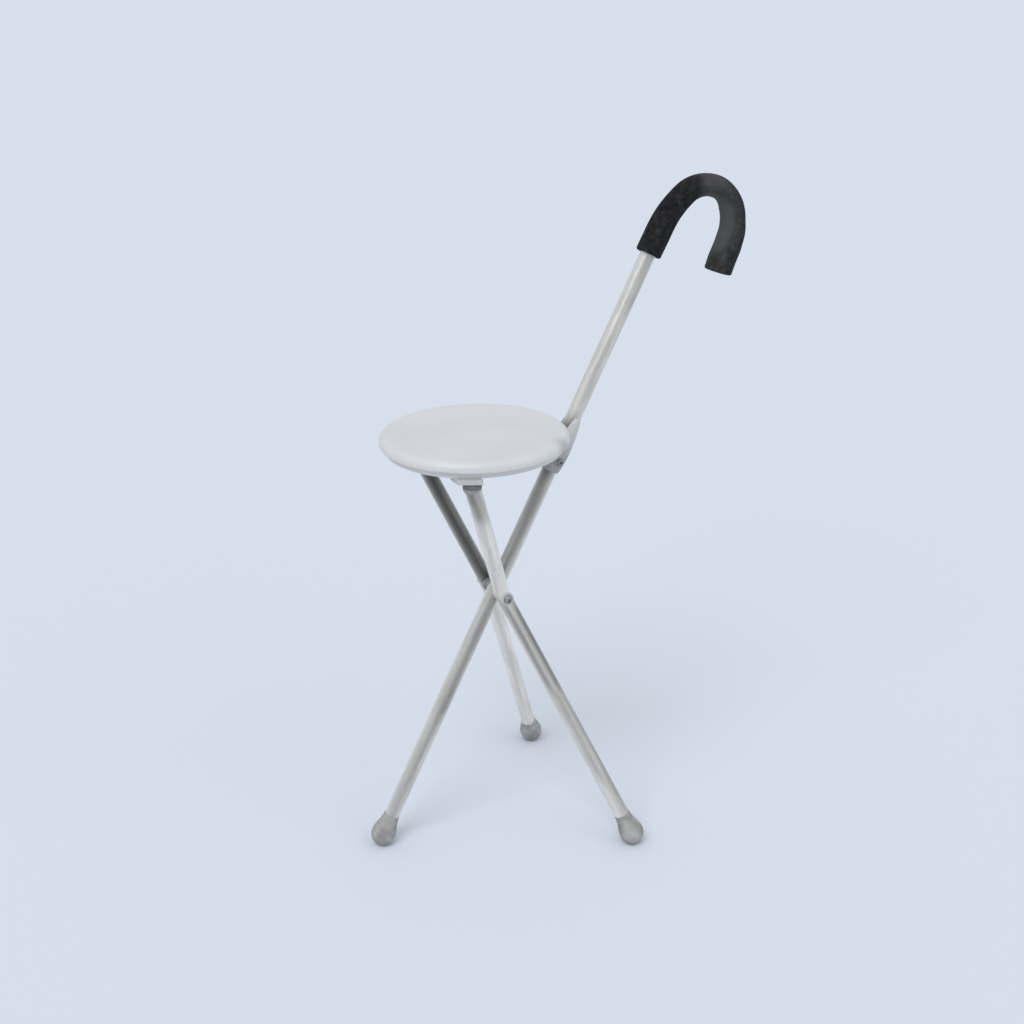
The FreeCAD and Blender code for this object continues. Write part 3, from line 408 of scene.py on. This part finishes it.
upward = Vector((0.0, 0.0, 1.0))
bpy.ops.object.select_all(action="DESELECT")
bpy.ops.mesh.primitive_circle_add(vertices=48, radius=mouth_radius, fill_type="NOTHING",
                                  location=(0.0, 0.0, sleeve_start))
grip = bpy.context.object
bpy.ops.object.mode_set(mode="EDIT")
bpy.ops.mesh.select_all(action="SELECT")
pull_ring(upward, 0.0010)
scale_ring(mouth_flare)
ring = (mouth_radius * mouth_flare, 0.0)
pull_ring(upward, 0.0016)
along = 0.0026
heading = 0.0
ring = draw_ring(ring, along, heading)
limb_step = (shoulder_centre.z - sleeve_start - along) / limb_steps
for rise in range(limb_steps):
    pull_ring(upward, limb_step)
    along += limb_step
    ring = draw_ring(ring, along, heading)
for centre, bend, sweep, steps in (
        (shoulder_centre, shoulder_bend, shoulder_sweep, shoulder_steps),
        (crook_centre, crook_bend, crook_sweep, crook_steps)):
    turn_step = math.radians(sweep / steps)
    for count in range(steps):
        bpy.ops.mesh.spin(steps=1, angle=-turn_step, center=centre, axis=(0.0, 1.0, 0.0))
        along += bend * turn_step
        heading += turn_step
        ring = draw_ring(ring, along, heading)
downward = Vector((math.sin(heading), 0.0, math.cos(heading)))
for fall in range(tail_steps):
    pull_ring(downward, tail_length / tail_steps)
    along += tail_length / tail_steps
    ring = draw_ring(ring, along, heading)
for forward, shrink in ((0.0016, 0.985), (0.0011, 0.94), (0.0007, 0.84), (0.0003, 0.62),
                        (0.0001, 0.30)):
    pull_ring(downward, forward)
    scale_ring(shrink)
bpy.ops.mesh.merge(type="CENTER")
bpy.ops.mesh.select_all(action="DESELECT")
bpy.ops.object.mode_set(mode="OBJECT")
# The first ring is drawn in to a lip round the tube.
for vertex in grip.data.vertices:
    vertex.select = vertex.co.z < 1e-6
bpy.ops.object.mode_set(mode="EDIT")
bpy.ops.mesh.extrude_region_move()
scale_ring(lip_radius / mouth_radius)
pull_ring(upward, lip_depth)
bpy.ops.object.mode_set(mode="OBJECT")
lumps = bpy.data.textures.new("foam_lumps", "CLOUDS")
lumps.noise_scale = 0.022
uneven = grip.modifiers.new("uneven", "DISPLACE")
uneven.texture = lumps
uneven.strength = 0.0007
uneven.mid_level = 0.85
smooth = grip.modifiers.new("smooth", "SUBSURF")
smooth.levels = 1
smooth.render_levels = 1
grip.name = "grip_sleeve"
grip.data.name = "grip_sleeve"
bpy.ops.object.select_all(action="DESELECT")
grip.select_set(True)
bpy.context.view_layer.objects.active = grip
grip.matrix_world = cane_frame() @ grip.matrix_world
bpy.ops.object.transform_apply(location=True, rotation=True, scale=True)
bpy.ops.object.mode_set(mode="EDIT")
bpy.ops.mesh.select_all(action="SELECT")
bpy.ops.mesh.remove_doubles(threshold=0.00002)
bpy.ops.mesh.normals_make_consistent(inside=False)
bpy.ops.object.mode_set(mode="OBJECT")
bpy.ops.object.shade_smooth_by_angle(angle=math.radians(40))
bpy.ops.object.modifier_apply(modifier="uneven")
bpy.ops.object.modifier_apply(modifier="smooth")

foam, w = new_material("foam")
place = w.node("TexCoord", None, None, out="Object")
pores = w.node("TexVoronoi", {"feature": "F1"}, {"Vector": place, "Scale": 1500.0})
grain = place.noise(420.0, 5.0, 0.65)
worn = place.noise(130.0, 3.0, 0.6)
crook_place = cane_frame() @ crook_centre
handle_side = dot(w, place, Vector((1.0, 0.0, 0.0)), crook_place, crook_bend)
from_crook = w.node("VectorMath", {"operation": "SUBTRACT"}, {0: place, 1: crook_place})
reach = w.node("VectorMath", {"operation": "LENGTH"}, {0: from_crook}, out="Value")
# Painted highlight and sheen: the half under the hand, the inside of the bend and the crown of
# the crook are painted paler where light falls on them.
inner = 1.0 - reach.step(0.034, 0.047)
outer = reach.step(0.048, 0.058) * handle_side.step(0.3, 0.9)
painted_lit_half = handle_side.step(-0.5, 0.05) * (1.0 - outer * 0.6)
spot = w.node("SeparateXYZ", None, {0: from_crook}, out="X")
turn = spot.output("Z").maths("ARCTAN2", spot)
lie = w.node("CombineXYZ", None, {"X": reach * 60.0, "Y": spot.output("Y") * 60.0,
                                  "Z": turn * 0.5})
foam_streaks = lie.noise(4.0, 4.0, 0.6)
dark_foam = (grain * 0.3 + worn * 0.7).ramp(
    (0.36, (0.003, 0.003, 0.0032)), (0.50, (0.012, 0.012, 0.0125)), (0.64, (0.028, 0.028, 0.029)))
grey_foam = (grain * 0.2 + worn * 0.4 + foam_streaks * 0.4).ramp(
    (0.36, (0.015, 0.015, 0.0155)), (0.50, (0.034, 0.034, 0.035)), (0.64, (0.064, 0.064, 0.065)))
painted_crown_sheen = spot.output("Z").step(0.026, 0.052) * handle_side.step(-0.45, -0.1)
painted_sheen = (inner * 0.75).maths("MAXIMUM", painted_crown_sheen * 0.45)
colour = painted_lit_half.mix(dark_foam, painted_sheen.mix(grey_foam, rgb(0.095, 0.095, 0.098)))
height = grain * 0.7 + pores * 0.3
bump = height.bump(0.55, 0.0006)
surface(w, w.node("BsdfPrincipled", None,
                  {"Base Color": colour, "Roughness": 0.86 + worn * 0.1, "Normal": bump,
                   "Specular IOR Level": 0.22}))
grip.data.materials.append(foam)
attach(grip, "cane")
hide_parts("foam_grip")

# Rubber feet: three alike bell-shaped ferrules in grey rubber, pushed on the tube ends. They
# are mottled with dust and darker round the sole.
rubber, w = new_material("rubber")
place = w.node("TexCoord", None, None, out="Object")
grain = place.noise(700.0, 4.0, 0.6)
dust = place.noise(55.0, 5.0, 0.65)
height = w.node("SeparateXYZ", None, {0: place}, out="Z")
# Darker towards the sole.
near_sole = 1.0 - height.step(0.001, 0.012)
mottled_rubber = (dust * 0.85 + grain * 0.15).ramp(
    (0.34, (0.21, 0.21, 0.205)), (0.50, (0.325, 0.323, 0.318)), (0.66, (0.46, 0.457, 0.447)))
sole_rubber = rgb(0.20, 0.197, 0.19)
colour = (near_sole * 0.55).mix(mottled_rubber, sole_rubber)
bump = grain.bump(0.3, 0.0003)
surface(w, w.node("BsdfPrincipled", None,
                  {"Base Color": colour, "Roughness": 0.55 + dust * 0.3, "Normal": bump}))
dress(rubber, "cane_foot", "leg_front_foot", "leg_back_foot")

# Hub: moulded saddles space the legs from the cane and sit under the bolt's head and nut, with
# a bush through each tube. All are threaded on the one bolt, and those behind are painted a
# darker grey as painted shade.
dress(moulded("hub_plastic", (0.50, 0.497, 0.49), (0.58, 0.577, 0.57), 0.40),
      "hub_spacer_front", "leg_front_bush", "leg_front_washer", "cane_hub_bush")
dress(moulded("painted_shade_hub_plastic", (0.25, 0.25, 0.25), (0.31, 0.31, 0.31), 0.40),
      "hub_spacer_back", "leg_back_bush", "leg_back_washer")

# Bracket: a moulded plastic collar clamped round the cane by one bolt, with two ears that carry
# the seat's hinge. Its lower end is painted dark as painted shade under the seat's rim, and the
# tips of its ears are painted pale as painted light over their shade.
dress(moulded("bracket_plastic", (0.50, 0.495, 0.485), (0.58, 0.575, 0.565), 0.38,
              below=((0.33, 0.33, 0.325), 0.484, 0.518),
              above=((0.76, 0.755, 0.74), 0.532, 0.552)),
      "cane_bracket")

# Leg caps: a dark plastic cap is pushed on the top of each leg and bears in its socket. Only a
# band at the top still shows dark, and the skirt below it is scuffed grey.
dress(moulded("cap_plastic", (0.12, 0.12, 0.123), (0.155, 0.155, 0.158), 0.45,
              below=((0.30, 0.30, 0.295), 0.5080, 0.5098)),
      "leg_front_top_cap", "leg_back_top_cap")

# Seat: a pale grey satin moulding with a shallow dish and a rolled rim, closed below by a
# ribbed plate. The lower side of the rim is painted a warmer grey to offset the blue light
# bounced from the floor, and a soft dark spot on the rim in front of the bracket is a painted
# shadow.
dress(moulded("seat_plastic", (0.600, 0.613, 0.636), (0.668, 0.680, 0.700), 0.34,
              below=((0.65, 0.646, 0.635), 0.529, 0.538),
              patch=((0.45, 0.458, 0.475), (0.212, -0.083, 0.535), 0.003, 0.022)),
      "seat_top")
dress(moulded("base_plastic", (0.61, 0.612, 0.61), (0.67, 0.672, 0.67), 0.40),
      "seat_base")

# Leg sockets: two moulded blocks screwed up under the rim, each with a hollow in which a leg's
# cap bears. They are a shade darker than the seat.
dress(moulded("socket_plastic", (0.48, 0.482, 0.48), (0.54, 0.542, 0.54), 0.40),
      "leg_socket_front", "leg_socket_back")


# Bolts, nuts, screws and the discs in the feet: zinc-plated steel, turned and pressed. The
# bolts of the bracket and the hinge are darker, and the hub's bolt is a darker grey than the
# zinc.
def fastener(name, dark, pale):
    material, w = new_material(name)
    place = w.node("TexCoord", None, None, out="Object")
    grain = place.noise(1300.0, 4.0, 0.6)
    cloud = place.noise(160.0, 3.0, 0.6)
    colour = (grain * 0.5 + cloud * 0.5).ramp((0.32, dark), (0.68, pale))
    bump = grain.bump(0.15, 0.0001)
    surface(w, w.node("BsdfPrincipled", None,
                      {"Base Color": colour, "Metallic": 1.0,
                       "Roughness": 0.28 + cloud * 0.2, "Normal": bump}))
    return material


dress(fastener("zinc_plate", (0.45, 0.45, 0.46), (0.62, 0.62, 0.62)),
      "hub_nut", "bracket_nut", "hinge_nut", "seat_screws", "socket_screws",
      "cane_foot_washer", "leg_front_foot_washer", "leg_back_foot_washer")
dress(fastener("dark_bolt", (0.20, 0.20, 0.205), (0.29, 0.29, 0.295)),
      "bracket_bolt", "hinge_bolt")
dress(fastener("grey_hub_bolt", (0.28, 0.28, 0.285), (0.40, 0.40, 0.405)), "hub_bolt")
